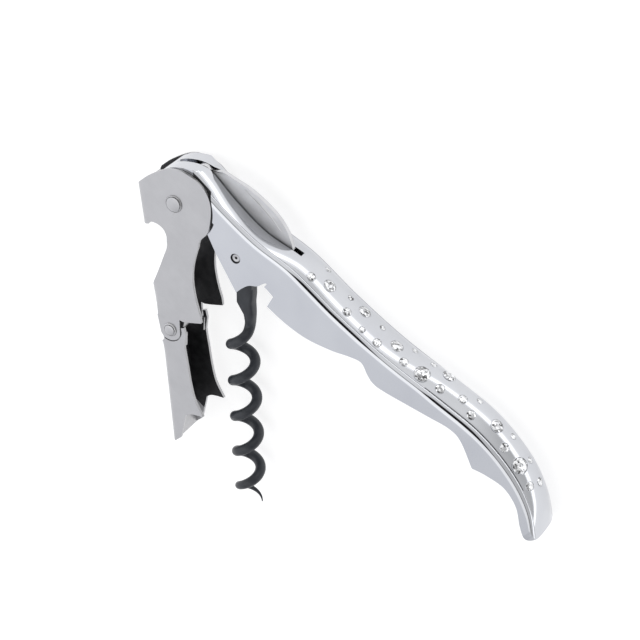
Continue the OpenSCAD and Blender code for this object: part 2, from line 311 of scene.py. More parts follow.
def noise(mat, scale, detail, stretch=(1, 1, 1)):
    """Noise in object space, per millimetre, as a node output between 0 and 1."""
    nodes, links = mat.node_tree.nodes, mat.node_tree.links
    place = nodes.new("ShaderNodeTexCoord")
    spread = nodes.new("ShaderNodeMapping")
    spread.inputs["Scale"].default_value = tuple(1000 * s for s in stretch)
    texture = nodes.new("ShaderNodeTexNoise")
    texture.inputs["Scale"].default_value = scale
    texture.inputs["Detail"].default_value = detail
    ramp = nodes.new("ShaderNodeMapRange")
    ramp.inputs["From Min"].default_value = 0.3
    ramp.inputs["From Max"].default_value = 0.7
    links.new(place.outputs["Object"], spread.inputs["Vector"])
    links.new(spread.outputs["Vector"], texture.inputs["Vector"])
    links.new(texture.outputs["Fac"], ramp.inputs["Value"])
    return ramp.outputs["Result"]


def vary(mat, shader, source, socket, a, b):
    """A socket goes from a to b as a source goes from 0 to 1."""
    nodes, links = mat.node_tree.nodes, mat.node_tree.links
    if isinstance(a, tuple):
        mix = nodes.new("ShaderNodeMix")
        mix.data_type = "RGBA"
        mix.inputs[6].default_value = (*a, 1)
        mix.inputs[7].default_value = (*b, 1)
        links.new(source, mix.inputs[0])
        links.new(mix.outputs[2], shader.inputs[socket])
    else:
        mix = nodes.new("ShaderNodeMapRange")
        mix.inputs["To Min"].default_value = a
        mix.inputs["To Max"].default_value = b
        links.new(source, mix.inputs["Value"])
        links.new(mix.outputs["Result"], shader.inputs[socket])


def bump(mat, shader, source, depth):
    node = mat.node_tree.nodes.new("ShaderNodeBump")
    node.inputs["Strength"].default_value = 1
    node.inputs["Distance"].default_value = depth * MM
    mat.node_tree.links.new(source, node.inputs["Height"])
    mat.node_tree.links.new(node.outputs["Normal"], shader.inputs["Normal"])


def chrome():
    mat, shader = material("chrome_polished", (0.61, 0.62, 0.65), 1, 0.09)
    vary(mat, shader, noise(mat, 0.35, 6), "Roughness", 0.07, 0.12)
    vary(mat, shader, noise(mat, 0.08, 2), "Base Color", (0.60, 0.612, 0.645), (0.64, 0.652, 0.68))
    bump(mat, shader, noise(mat, 0.10, 2), 0.010)
    return mat


def satin(name, a, b, rough, along=(1, 1, 1)):
    """Finely brushed metal between two tones; its grain is longest where along is smallest."""
    mat, shader = material(name, a, 1, rough)
    vary(mat, shader, noise(mat, 2.2, 5, along), "Roughness", rough - 0.05, rough + 0.07)
    vary(mat, shader, noise(mat, 0.3, 3), "Base Color", a, b)
    bump(mat, shader, noise(mat, 5.0, 3, along), 0.0012)
    return mat


def coated():
    mat, shader = material("worm_ptfe", (0.030, 0.033, 0.041), 0, 0.38, Specular_IOR_Level=0.42)
    vary(mat, shader, noise(mat, 6, 5), "Roughness", 0.32, 0.46)
    vary(mat, shader, noise(mat, 0.4, 3), "Base Color", (0.021, 0.024, 0.031), (0.036, 0.040, 0.048))
    bump(mat, shader, noise(mat, 9, 3), 0.006)
    return mat


# Painted shade: near-black that stands in for the shade inside the lever's channel, in the gap round the
# lever's head and in the worm pin's ring
def inside():
    mat, shader = material("lever_inside_painted_shade", (0.03, 0.03, 0.032), 0.3, 0.42)
    vary(mat, shader, noise(mat, 3, 5), "Roughness", 0.36, 0.55)
    vary(mat, shader, noise(mat, 0.5, 3), "Base Color", (0.016, 0.016, 0.018), (0.045, 0.045, 0.048))
    bump(mat, shader, noise(mat, 7, 3), 0.006)
    return mat


def stone():
    """Cut crystal: its colour is cells of painted light and dark glints, standing in for facets over a
    foil, below a clear top.
    """
    mat, shader = material("crystal_clear_painted_glints", (0.92, 0.94, 0.97), 0.75, 0.08,
                           Coat_Weight=0.6, Coat_Roughness=0.02)
    nodes, links = mat.node_tree.nodes, mat.node_tree.links
    place = nodes.new("ShaderNodeTexCoord")
    cells = nodes.new("ShaderNodeTexVoronoi")
    cells.inputs["Scale"].default_value = 2.1 / MM
    split = nodes.new("ShaderNodeSeparateColor")
    ramp = nodes.new("ShaderNodeValToRGB")
    ramp.color_ramp.interpolation = "CONSTANT"
    tones = [(0, 0.10), (0.13, 0.34), (0.30, 0.62), (0.55, 0.86), (0.75, 1.0)]
    for k, (start, tone) in enumerate(tones):
        e = ramp.color_ramp.elements[k] if k < 2 else ramp.color_ramp.elements.new(start)
        e.position, e.color = start, (tone * 0.97, tone * 0.98, tone, 1)
    links.new(place.outputs["Object"], cells.inputs["Vector"])
    links.new(cells.outputs["Color"], split.inputs["Color"])
    links.new(split.outputs["Red"], ramp.inputs["Fac"])
    links.new(ramp.outputs["Color"], shader.inputs["Base Color"])
    vary(mat, shader, noise(mat, 1.1, 2), "Roughness", 0.05, 0.15)
    return mat


CHROME = chrome()
LEVER_STEEL = satin("lever_steel_satin", (0.50, 0.499, 0.51), (0.53, 0.529, 0.54), 0.38, (0.25, 1, 1))
BLADE_STEEL = satin("blade_steel_fine", (0.61, 0.612, 0.625), (0.68, 0.682, 0.695), 0.36, (0.15, 1, 1))
PIN_STEEL = satin("pin_steel_turned", (0.49, 0.49, 0.50), (0.54, 0.54, 0.55), 0.33)
SPRING_STEEL = satin("spring_steel_blued", (0.36, 0.37, 0.40), (0.46, 0.47, 0.50), 0.3, (0.2, 1, 1))
BRASS = satin("washer_brass_aged", (0.20, 0.165, 0.11), (0.27, 0.22, 0.15), 0.42)
SPACER = satin("spacer_grey", (0.26, 0.26, 0.27), (0.34, 0.34, 0.35), 0.5)
PTFE = coated()
PAINTED_SHADE = inside()
STONE = stone()

# ---- handle ----

NOSE = (smooth([(0.7, 11.7), (-1.9, 10.5), (-3.9, 8.9), (-5.6, 7), (-6.9, 4.6)])
        + smooth([(-7, 4.2), (-6.9, 0.4), (-6.5, -3), (-3.7, -5.5), (0.2, -6.3), (4.8, -4.9), (9, -1),
                  (10.9, 0.8)]))
NOTCH = smooth([(25.1, -4.9), (25.3, -3), (26, -0.7), (27.5, 1.1), (28.3, 3.4), (29.4, 3.9), (31.9, 3.8)])
BELLY = smooth([(32.5, 0.5), (38, 1), (44, 2.5), (49.9, 5.5), (53.8, 8.2), (56.7, 9.6), (59.7, 8.5),
                (62.2, 8), (65.6, 8.9), (75.3, 12.9), (81, 15.2), (84.9, 15.2), (91.4, 12.2)])
TAIL = smooth([(91.4, 12.2), (94.7, 13.8), (99.5, 15.1), (104.5, 13.9), (108.7, 10.8), (111.8, 9.3),
               (113.6, 10.9), (113.7, 12.9)])
# Where the crystals stand on the back, as (x, z), by size
SMALL = [(36, -2.6), (44.3, -1.1), (51.3, 3.8), (54.3, -1.1), (63.2, -2.2), (68.4, -1.7), (81.4, -0.9),
         (92.4, -0.4), (99, -0.5)]
MEDIUM = [(34.6, 3.4), (46, 3.1), (55.8, 3.7), (63.1, 3.2), (73.1, 3.4), (78.3, 2.1), (82.1, 3.7),
          (92.6, 3.5), (104.3, -0.2), (103.1, 3.4)]
LARGE = [(39, 1.3), (48.8, -1), (59.5, 0.6), (72.6, -1.5), (88, 1.4)]
JUMBO = [(67.9, 3), (98.1, 3.1)]
STONES = (("crystals_small", SMALL, 1.6), ("crystals_medium", MEDIUM, 2.2),
          ("crystals_large", LARGE, 3.2), ("crystals_jumbo", JUMBO, 3.9))
# The share of a crystal's width that its seat is deep
SEAT_DEPTH = 0.3
# The handle is swept in short steps between two places past its ends
SWEEP_START = -11
SWEEP_LENGTH = 127.5
STEP_X = 0.6
# How wide the steep part of the rounded edge is along the handle, from 0 to 1
EDGE_WIDE = [(-20, 0), (29, 0), (34.5, 0.9), (45, 1), (52, 0.8), (60, 0), (69, 0), (74, 0.8), (84, 0.9),
             (94, 0), (130, 0)]
# The worm's channel in three layers: half its width, and its top above the folded worm's axis
CHANNEL = ((4.25, -0.4), (3.95, 0.9), (3.15, 2.4))
WASHER_SEAT_R = 3.9
WASHER_SEAT_DEPTH = 0.45
SHANK_HALF = 3.2
SLOT_HALF = 0.85
LEVER_BORE = 2.43
STOP_PIN = (-4.8, 5.2)
PIN_BORES = ((WORM, 1.28), (KNIFE, 1.03), (STOP_PIN, 0.53))


def shoulder(x):
    """Half of the handle's section, from deep in its flat side up to the dome's foot, as (z, y)."""
    wide = lookup(x, EDGE_WIDE)
    wide = wide * wide * (3 - 2 * wide)
    # each zone is a height, the two angles that the surface leans over between, and a number of steps
    zones = [
        (0.95, 0, 24, 8),
        (0.08 + 0.48 * wide, 28, 37, 6),
        (0.53 - 0.26 * wide, 41, 58, 6),
        (0.05, 60, 80, 3),
    ]
    y = lookup(x, LEDGE) - sum(zone[0] for zone in zones)
    z = HALF_W
    half = [(HALF_W, -14), (HALF_W, y - 0.5), (z, y)]
    for height, low, high, steps in zones:
        for k in range(steps):
            lean = math.radians(low + (high - low) * (k + 0.5) / steps)
            y += height / steps
            z -= height / steps * math.tan(lean)
            half.append((z, y))
    return half + [(DOME_HALF + 0.06, y - 0.1), (DOME_HALF - 0.03, y - 0.14)]


def handle_ring(x):
    """The handle's whole section, with the dome between the two shoulders."""
    half = shoulder(x)
    steps = 23
    places = [k / steps * DOME_HALF * 0.985 for k in range(-steps, steps + 1)]
    back = [(-z, dome(x, z)) for z in places]
    outline = half + back + [(-z, y) for z, y in reversed(half)]
    return [at(x, y, z) for z, y in outline]


def beside_worm(along, up):
    """A place along the folded worm and above its axis."""
    return (WORM[0] + along * math.cos(FOLDED) - up * math.sin(FOLDED),
            WORM[1] + along * math.sin(FOLDED) + up * math.cos(FOLDED))


def worm_space(start, up):
    """Outline of the channel's layer that reaches up to a height, open below."""
    low = beside_worm(start, up), beside_worm(66, up), beside_worm(73, min(up, 0.8)), beside_worm(73, 0.8)
    return [(low[0][0], -20), low[0], low[1], low[2], (low[3][0], -20)]


def on_back(x, z):
    """Frame of a place on the dome, with its Z axis straight out."""
    n = dome_normal(x, z)
    return Matrix.Translation(at(x, dome(x, z), z)) @ n.to_track_quat("Z", "X").to_matrix().to_4x4()


def seat_cutter(x, z, d):
    """Cutter for a crystal's seat, a little wider towards its top."""
    height = 2
    middle = Matrix.Translation((0, 0, (height / 2 - SEAT_DEPTH * d) * MM))
    bm = bmesh.new()
    bmesh.ops.create_cone(bm, cap_ends=True, segments=40, radius1=(d / 2 + 0.02) * MM,
                          radius2=(d / 2 + 0.13) * MM, depth=height * MM, matrix=on_back(x, z) @ middle)
    return from_bmesh("seat", bm)


def tail_rounding():
    """Solid that is straight up and down, and rounds the tail's two corners as seen from the back."""
    length = 3.3
    width = 2
    start = TAIL_X - length
    turns = [math.pi / 24 * k for k in range(1, 13)]
    corner = [(start + length * math.sin(a), HALF_W - width + width * math.cos(a)) for a in turns]
    side = [(-20, HALF_W + 1), (start, HALF_W + 1)] + corner
    above = [(x, -z) for x, z in side] + side[::-1]
    return prism("above", [at(x, -40, z) for x, z in above], [at(x, 40, z) for x, z in above])


def ear_cuts(side):
    """On one side: the lever's place with its round seat, and the washer's seat."""
    ear = [(0.5, -20), (28.8, -20), (28.8, 4.9), (28, 5.6), (9.9, 5.6), (0.5, 5.6)]
    low, high = sorted((side * EAR_Z, side * (HALF_W + 2)))
    cuts = [plate("ear", ear, low, high), rod("ear", LEVER, EAR_R, low, high, 160)]
    low, high = sorted((side * (EAR_Z - WASHER_SEAT_DEPTH), side * (HALF_W + 2)))
    return cuts + [rod("washer_seat", LEVER, WASHER_SEAT_R, low, high)]


def make_handle():
    """One casting: the swept section within its outlines, less the ears, channel, slot, bores and seats."""
    bm = bmesh.new()
    count = int(SWEEP_LENGTH / STEP_X)
    sweep(bm, [handle_ring(SWEEP_START + STEP_X * i) for i in range(count + 1)])
    body = from_bmesh("handle", bm)
    outline = [(TAIL_X, 30), (0.7, 30)] + NOSE + [(15.2, -1.2)] + NOTCH + BELLY + TAIL[1:]
    boolean(body, [plate("outline", outline, -HALF_W - 1, HALF_W + 1)], "INTERSECT")
    boolean(body, [tail_rounding()], "INTERSECT")
    cuts = ear_cuts(-1) + ear_cuts(1)
    shank_end = beside_worm(23, 2.4)
    shank = [(15.5, -20), (15.5, 2), (16.7, 4.6), beside_worm(0, 3.6), beside_worm(21, 3.6), shank_end,
             (shank_end[0], -20)]
    cuts.append(plate("shank", shank, -SHANK_HALF, SHANK_HALF))
    for half, up in CHANNEL:
        cuts.append(plate("channel", worm_space(18, up), -half, half))
    slot = [(-12, 30), (-12, 5.8), (16.5, 5.8), (19, 6.8), (24, 8.6), (29.5, 10.6), (29.5, 30)]
    cuts.append(plate("slot", slot, -SLOT_HALF, SLOT_HALF))
    cuts.append(drill(LEVER, LEVER_BORE))
    for centre, radius in PIN_BORES:
        cuts.append(drill(centre, radius, EAR_Z + 1))
    for _, spots, d in STONES:
        cuts += [seat_cutter(x, z, d) for x, z in spots]
    for c in cuts:
        boolean(body, [c])
    return finish_mesh(body, 28)


show(make_handle(), "handle", CHROME, "handle_chrome", "handle_body")

# ---- crystals ----


def brilliant(bm, place, d, sides):
    """Stone with a girdle, three rows of crown facets with a little play, and a table."""
    r = d / 2 - 0.02
    top = 0.14 * d
    turn = random.uniform(0, math.tau)

    def row(radius, z, offset, play=0.0):
        out = []
        for i in range(sides):
            a = turn + math.tau * (i + offset) / sides
            lift = random.uniform(-play, play) * d
            point = Vector((radius * math.cos(a), radius * math.sin(a), z + lift))
            out.append(bm.verts.new(place @ (point * MM)))
        return out
    low = row(r, 0.03 - SEAT_DEPTH * d, 0)
    rim = row(r, 0.02, 0)
    crown = [
        rim,
        row(0.84 * r, 0.45 * top, 0.5, 0.008),
        row(0.62 * r, 0.78 * top, 0, 0.012),
        row(0.34 * r, 0.9 * top, 0.5, 0.012),
    ]
    bm.faces.new(low[::-1])
    bm.faces.new(crown[-1])
    for i in range(sides):
        j = (i + 1) % sides
        bm.faces.new((low[i], low[j], rim[j], rim[i]))
        for k, (outer, inner) in enumerate(zip(crown, crown[1:])):
            if k % 2:
                bm.faces.new((outer[i], inner[i], inner[i - 1]))
                bm.faces.new((outer[i], outer[j], inner[i]))
            else:
                bm.faces.new((outer[i], outer[j], inner[i]))
                bm.faces.new((outer[j], inner[j], inner[i]))


def collar(bm, place, d):
    """Thin raised metal ring round a stone."""
    steps = 48
    angles = [math.tau * i / steps for i in range(steps)]
    # how far out from the stone, and how high over the dome
    profile = [(0, -0.12), (0, 0.03), (0.05, 0.045), (0.12, -0.02), (0.12, -0.12)]
    rows = []
    for out, high in profile:
        r = d / 2 + out
        points = [Vector((r * math.cos(a) * MM, r * math.sin(a) * MM, high * MM)) for a in angles]
        rows.append([bm.verts.new(place @ p) for p in points])
    for a, b in zip(rows, rows[1:] + rows[:1]):
        for i in range(steps):
            j = (i + 1) % steps
            bm.faces.new((a[i], a[j], b[j], b[i]))


def make_collars():
    bm = bmesh.new()
    for _, spots, d in STONES:
        for x, z in spots:
            collar(bm, on_back(x, z), d)
    return finish_mesh(from_bmesh("crystal_collars", bm), 60, weighted=False)


for node, spots, d in STONES:
    bm = bmesh.new()
    for x, z in spots:
        brilliant(bm, on_back(x, z), d, 8 if d < 2 else 12)
    show(from_bmesh(node + "_cut", bm), "handle", STONE, "crystal", node)
show(make_collars(), "handle", CHROME, "handle_chrome")

# ---- knife ----

BLADE_BACK = smooth([(3, 13.6), (6.6, 14.7), (10.6, 15.9), (15.5, 16.5), (19.4, 16.4), (22.9, 15.6),
                     (25.3, 14.4), (27.3, 13)])
BLADE_EDGE = smooth([(27.3, 13), (23.7, 10.5), (19.2, 8.8), (3.3, 8.2)])
BLADE_HALF = 0.6
HEEL_R = 2.3
BLADE_BORE = 1.05
GROOVE = smooth([(9.6, 14.9), (13.5, 15.1), (18, 14.9), (22.4, 14.2)], 10)
GROOVE_R = 0.32
GRIND_ANGLE = math.radians(9)


def groove_cutter(side):
    """Round bar along the nail groove that thins out at both ends."""
    rings = []
    for k, (x, y) in enumerate(GROOVE):
        r = GROOVE_R * math.sin(math.pi * (k + 0.6) / (len(GROOVE) + 0.2)) ** 0.5
        z = side * (BLADE_HALF + 0.04)
        turns = [math.tau * i / 12 for i in range(12)]
        rings.append([at(x, y + r * math.cos(a), z + r * math.sin(a)) for a in turns])
    bm = bmesh.new()
    sweep(bm, rings)
    return from_bmesh("groove", bm)


def grind_cutter(side):
    """Wedge for the cutting bevel, which leans in from a line above the edge."""
    line = (14, 9.9)
    grind = [(27.9, 13.2), (23.9, 11.4), (19.2, 10.1), (8, 9.7), (3.4, 9.2), (3.4, 6), (29, 6), (29, 13)]
    wedge = plate("grind", grind, 0, side * 3)
    turn = Matrix.Rotation(-side * GRIND_ANGLE, 4, "X")
    hold = Matrix.Translation(at(*line, side * BLADE_HALF))
    wedge.data.transform(hold @ turn @ Matrix.Translation(-at(*line, 0)))
    return wedge


def make_blade():
    outline = ([(0.4, 11), (1.3, 11.6)] + BLADE_BACK + BLADE_EDGE[1:] + [(1.9, 7.8)]
               + arc(KNIFE, HEEL_R, -30, -290, 40))
    blade = plate("blade", outline, -BLADE_HALF, BLADE_HALF)
    cuts = [drill(KNIFE, BLADE_BORE, 3)]
    for side in (-1, 1):
        cuts += [groove_cutter(side), grind_cutter(side)]
    for c in cuts:
        boolean(blade, [c])
    return finish_mesh(blade, 30, 0.16)


show(make_blade(), "knife", BLADE_STEEL, "blade_steel", "knife_blade")

# ---- lever ----

HEAD = smooth([(11.5, -3.3), (10.7, -1.6), (10.8, 0.2), (10.7, 1.9), (9.8, 4), (8.2, 6.6), (6.5, 8.4),
               (4.3, 9.6), (1.3, 10), (-1.6, 9.4), (-4, 8.2), (-6, 6.3), (-7.4, 3.6), (-8.6, 0.2),
               (-9.2, -2.8)])
LIFTER = [(-9, -3.7), (-1.9, -10.5), (-0.9, -9.4)]
MOUTH = smooth([(-0.9, -8.5), (-0.2, -7.9), (1.1, -7.3), (2.6, -7.2), (4, -7.8), (4.9, -8.7), (6.1, -10.3),
                (7.1, -13.3), (8.2, -16.7), (9.5, -21.2)])
UPPER_BACK = [(9.9, -22.2), (15.4, -27)]
CLAW = [(20.2, -23.1), (21.1, -22.7), (22.5, -21.2), (24.5, -18.8), (23, -17.4)]
UPPER_FRONT = smooth([(23, -17.4), (20, -15.3), (17.2, -12.9), (15.4, -10.9), (13.9, -8.7), (12.6, -6.1),
                      (11.5, -3.3)])
# Outer lines of the two webs that join the upper arm's cheeks
UPPER_WEBS = [(LIFTER[0], LIFTER[1]), ((9.7, -21.9), UPPER_BACK[1])]
LUG_R = 2.9
# Radius that the lower arm's cheeks keep clear of, round the upper arm's lugs
LUG_CLEAR = LUG_R + 0.3
HEAD_BORE = 1.65
LUG_BORE = 1.33
TAB_BORE = 1.35
BEND_R = 1.0


def web(start, end):
    """Plate as thick as the sheet, across from one cheek's outer face to the other's."""
    dx = end[0] - start[0]
    dy = end[1] - start[1]
    n = math.hypot(dx, dy)
    nx = -dy / n * SHEET
    ny = dx / n * SHEET
    outline = [start, end, (end[0] + nx, end[1] + ny), (start[0] + nx, start[1] + ny)]
    return plate("web", outline, -CHEEK_OUT, CHEEK_OUT)


def both_sides(outline, z0, z1):
    """The same plate on both sides of the middle plane."""
    return [plate("side", outline, z0, z1), plate("side", outline, -z1, -z0)]


def round_bend(piece, start, end, radii, reach):
    """Rounds both outer corners along a web. Reach is how far the rounding goes past each end."""
    along = (Vector(end) - Vector(start)).normalized()
    inward = Vector((-along.y, along.x))
    first = Vector(start) - along * reach[0]
    last = Vector(end) + along * reach[1]
    turns = [math.pi / 2 * i / 10 for i in range(11)]
    for side in (-1, 1):
        rings = []
        for k, radius in enumerate(radii):
            base = first.lerp(last, k / (len(radii) - 1))
            curve = [(radius - radius * math.sin(a), radius - radius * math.cos(a)) for a in turns]
            ring = []
            for u, w in [(radius, -1), *curve, (-1, radius), (-1, -1)]:
                q = base + inward * u
                ring.append(at(q.x, q.y, side * (CHEEK_OUT - w)))
            rings.append(ring)
        bm = bmesh.new()
        sweep(bm, rings)
        boolean(piece, [from_bmesh("bend", bm)])
    return piece


def make_upper():
    """Two cheeks, with webs behind the cap lifter and behind the first step."""
    cheek = HEAD + LIFTER + MOUTH + UPPER_BACK + [(19, -30)]
    cheek += arc(LOWER, LUG_R, 250, 380) + CLAW + UPPER_FRONT[1:-1]
    left, right = both_sides(cheek, CHEEK_IN, CHEEK_OUT)
    lip = plate("lip", [LIFTER[1], LIFTER[2], (-1.4, -8.7), (-2.5, -9.8)], -CHEEK_OUT, CHEEK_OUT)
    # the lifter's web starts just inside the cheeks' corner
    lifter_web = web((-8.95, -3.75), LIFTER[1])
    arm = boolean(left, [right, lifter_web, lip, web(*UPPER_WEBS[1])], "UNION")
    arm.name = "upper_arm"
    boolean(arm, [drill(LEVER, HEAD_BORE)])
    boolean(arm, [drill(LOWER, LUG_BORE)])
    round_bend(arm, *UPPER_WEBS[0], [BEND_R, BEND_R], (3, 2))
    round_bend(arm, *UPPER_WEBS[1], [BEND_R, BEND_R, BEND_R, 0.8, 0.4], (2, 0))
    # the channel's inner faces take painted shade
    return two_tone(finish_mesh(arm, 34, 0.14), LEVER_STEEL, channel_inside(UPPER_WEBS))


show(make_upper(), "lever", None, "lever_steel", "lever_upper")

LOWER_BACK = [(20.8, -32), (40, -52.2)]
LOWER_FRONT = smooth([(25.6, -28), (27.3, -29.6), (29.2, -31.3), (33, -34.8), (36.7, -37.6), (41, -39.4)])
TAB_OUT = CHEEK_IN - 0.06
TAB_IN = TAB_OUT - SHEET
TAB_R = 5.4
# The painted shade stops here, so that the tongue past it keeps the plain steel
TONGUE = (36.5, -46.5)


def part_faces(piece, place):
    """Splits faces along the two planes through a place, so that a change of material can follow them."""
    bm = bmesh.new()
    bm.from_mesh(piece.data)
    for x, y, normal in ((place[0], 0, (1, 0, 0)), (0, place[1], (0, 1, 0))):
        geometry = bm.verts[:] + bm.edges[:] + bm.faces[:]
        bmesh.ops.bisect_plane(bm, geom=geometry, plane_co=at(x, y, 0), plane_no=normal)
    bm.to_mesh(piece.data)
    bm.free()


def make_lower():
    """Two cheeks and a web, with tabs that joggle in beside the hinge to go inside the upper arm's lugs."""
    cheek = ([LOWER_BACK[0], (39.3, -52.3), (40.5, -51.6), (40.9, -49.6)]
             + smooth([(37.8, -43.3), (38.5, -41.6), (41, -39.4)]) + LOWER_FRONT[-2::-1]
             + [(23.9, -25.2), (22.3, -23.9), (21.5, -25.2), LOWER])
    tab = [(18.4, -29.6), (22.4, -33.4), (26.2, -29), (23.5, -25.3)]
    parts = both_sides(cheek, CHEEK_IN, CHEEK_OUT) + [web(*LOWER_BACK)]
    for p in parts[:2]:
        boolean(p, [drill(LOWER, LUG_CLEAR, steps=96)])
    tabs = both_sides(tab, TAB_IN, TAB_OUT)
    for t in tabs:
        boolean(t, [drill(LOWER, TAB_R, steps=96)], "INTERSECT")
    ends = both_sides(arc(LOWER, 2.5, 0, 357, 95), TAB_IN, TAB_OUT)
    joggles = both_sides(cheek, TAB_IN, CHEEK_OUT - 0.02)
    for j in joggles:
        boolean(j, [drill(LOWER, LUG_CLEAR, steps=96)])
        boolean(j, [drill(LOWER, TAB_R - 0.05, steps=96)], "INTERSECT")
        boolean(j, [plate("keep", tab, -PAST, PAST)], "INTERSECT")
    arm = parts[0]
    arm.name = "lower_arm"
    boolean(arm, parts[1:] + tabs + ends + joggles, "UNION")
    boolean(arm, [drill(LOWER, TAB_BORE)])
    part_faces(arm, TONGUE)
    round_bend(arm, *LOWER_BACK, [0.5, 0.9] + [BEND_R] * 14, (0, 2))
    # the web's inner faces take painted shade, up to the tongue
    return two_tone(finish_mesh(arm, 34, 0.12), LEVER_STEEL, channel_inside([LOWER_BACK], TONGUE))


show(make_lower(), "lower_lever", None, "lever_steel", "lever_lower")


def rivet(name, centre, shaft, head, ring):
    """Riveted pin: on each end a low crowned head, with a turned groove round it at a radius."""
    foot = CHEEK_OUT + 0.03
    crown = [(0, 0), (ring * 0.35, 0.015), (ring * 0.7, 0.06), (ring - 0.12, 0.13)]
    groove = [(ring - 0.06, 0.16), (ring + 0.04, 0.16), (ring + 0.1, 0.3)]
    edge = [(head - 0.12, 0.26), (head - 0.02, 0.14), (head, 0), (shaft, 0)]
    half = [(r, RIVET_TOP - down) for r, down in crown] + [(r, foot + up) for r, up in groove + edge]
    profile = half + [(r, -z) for r, z in reversed(half)]
    return finish_mesh(lathe(name, profile, centre), 40, weighted=False)


show(rivet("lever_rivet", LEVER, 1.6, 2.2, 1.9), "handle", PIN_STEEL, "pin_steel", "lever_pin")
show(rivet("lower_rivet", LOWER, 1.3, 1.8, 1.4), "lever", PIN_STEEL, "pin_steel", "lower_pin")


def make_worm_pin():
    """Hollow pin with rolled ends; the ring between it and its bore is dark with painted shade."""
    top = EAR_Z - 0.02
    mouth = [(0.30, 0.6), (0.36, 0.36), (0.62, 0.27), (0.92, 0.28), (1.0, 0.4), (1.15, 0.45), (1.25, 0.45)]
    half = [(r, top - down) for r, down in mouth]
    profile = half + [(r, -z) for r, z in reversed(half)]
    pin = finish_mesh(lathe("worm_tube", profile + [profile[0]], WORM), 40, weighted=False)
    return two_tone(pin, PIN_STEEL, lambda c, n: math.hypot(c.x - WORM[0], c.y - WORM[1]) > 0.97)


show(make_worm_pin(), "handle", None, "pin_steel", "worm_pin")

SHADE_T = 0.03


def make_seat_shade(z):
    """Thin sheet of painted shade on the ear, seen in the gap round the lever's head; it stays below the
    dome.
    """
    low_end = [around(LEVER, 10.42, 3), around(LEVER, 10.6, 15)]
    outer = [(x, min(y, dome(x, EAR_Z) - 0.08)) for x, y in arc(LEVER, EAR_R - 0.02, 28, 100, 60)]
    inner = arc(LEVER, 8.6, 92, 3, 60)
    return plate("seat_shade", low_end + outer + inner, z, z + SHADE_T)


for z in (EAR_Z, -EAR_Z - SHADE_T):
    show(make_seat_shade(z), "handle", PAINTED_SHADE, None)

# ---- worm ----

# Measured from the worm's pin, with X along the worm and t as the coil's angle
WIRE = 2.6
OUTER = 8.2
PITCH = 10.1
TURNS = 4.9
HELIX_R = (OUTER - WIRE) / 2
COIL_START = 24.6
COIL_SIDE = -2.0
COIL_PHASE = math.radians(127.6)
RUN_IN = math.radians(120)
TAPER = math.radians(320)
TURN_END = TURNS * math.tau - RUN_IN
COIL_STEP = math.radians(7.5)
EYE_R = 2.8
EYE_HALF = 1.7
EYE_BORE = 1.3
NECK_HALF = EYE_HALF - 0.1
NECK_WIDE = 1.4
TO_WORM = Matrix.Translation(at(*WORM, 0)) @ Matrix.Rotation(WORM_ANGLE, 4, "Z")


def coil(t):
    """The wire's middle; it starts a little nearer the coil's axis and winds out."""
    r = HELIX_R - 0.8 * max(0, -t) / RUN_IN
    return Vector((COIL_START + PITCH * t / math.tau, COIL_SIDE + r * math.cos(t + COIL_PHASE),
                   r * math.sin(t + COIL_PHASE)))


def coil_wire(t):
    """The wire's half width, which tapers to the point over the last turn."""
    return WIRE / 2 * (1 - 0.9 * (max(0, t - TURN_END + TAPER) / TAPER) ** 1.5)


def worm_path():
    """Stations along the worm: the middle, the half thickness along z, and the half width."""
    path = [
        (Vector((8.5, 0.2, 0)), EYE_HALF, 2.05),
        (Vector((11, -0.1, 0)), EYE_HALF, 2.25),
        (Vector((13.2, -0.3, 0)), EYE_HALF, 2.15),
        (Vector((14.6, 0.15, 0)), EYE_HALF, 1.75),
        (Vector((16.2, 0.55, 0.02)), NECK_HALF, NECK_WIDE),
    ]
    # a cubic curve leads from the neck into the coil
    lead = path[-1][0]
    first = coil(-RUN_IN)
    slope = (coil(-RUN_IN + 0.02) - first).normalized()
    for k in range(1, 7):
        s = k / 7
        a = (1 - s) ** 3 * lead + 3 * (1 - s) ** 2 * s * (lead + Vector((1.5, 0, 0)))
        b = 3 * (1 - s) * s ** 2 * (first - slope * 2.0) + s ** 3 * first
        thick = NECK_HALF + (WIRE / 2 - NECK_HALF) * s
        wide = NECK_WIDE + (WIRE / 2 - NECK_WIDE) * s
        path.append((a + b, thick, wide))
    t = -RUN_IN
    while t < TURN_END:
        path.append((coil(t), coil_wire(t), coil_wire(t)))
        t += COIL_STEP
    path.append((coil(TURN_END), coil_wire(TURN_END), coil_wire(TURN_END)))
    return path


def worm_rings(path, sides=28):
    """Sections across the path, which go from a rounded rectangle at the eye to a circle in the coil."""
    up = Vector((0, 0, 1))
    rings = []
    for i, (c, thick, wide) in enumerate(path):
        ahead = path[min(i + 1, len(path) - 1)][0] - path[max(i - 1, 0)][0]
        ahead.normalize()
        side = up.cross(ahead).normalized()
        up = ahead.cross(side).normalized()
        power = 0.45 + 0.55 * min(1, max(0, i - 2) / 6)
        ring = []
        for k in range(sides):
            a = math.tau * k / sides
            across = math.copysign(abs(math.cos(a)) ** power, math.cos(a))
            over = math.copysign(abs(math.sin(a)) ** power, math.sin(a))
            ring.append(TO_WORM @ ((c + (side * wide * across + up * thick * over)) * MM))
        rings.append(ring)
    return rings


def make_worm():
    """One sweep from the flat shank through the round wire into the coil, joined to the eye."""
    bm = bmesh.new()
    sweep(bm, worm_rings(worm_path()))
    worm = from_bmesh("worm_coil", bm)
    eye = [(0, EYE_R), (9.2, 2.2), (9.2, -1.9), (0, -EYE_R)] + arc((0, 0), EYE_R, 270, 90, 40)[1:-1]
    low, high = [[TO_WORM @ (Vector((x, y, z)) * MM) for x, y in eye] for z in (-EYE_HALF, EYE_HALF)]
    boolean(worm, [prism("eye", low, high)], "UNION")
    boolean(worm, [drill(WORM, EYE_BORE)])
    return finish_mesh(worm, 40, 0.12)


show(make_worm(), "worm", PTFE, "worm_coating", "worm")

# ---- carried-over small pieces ----

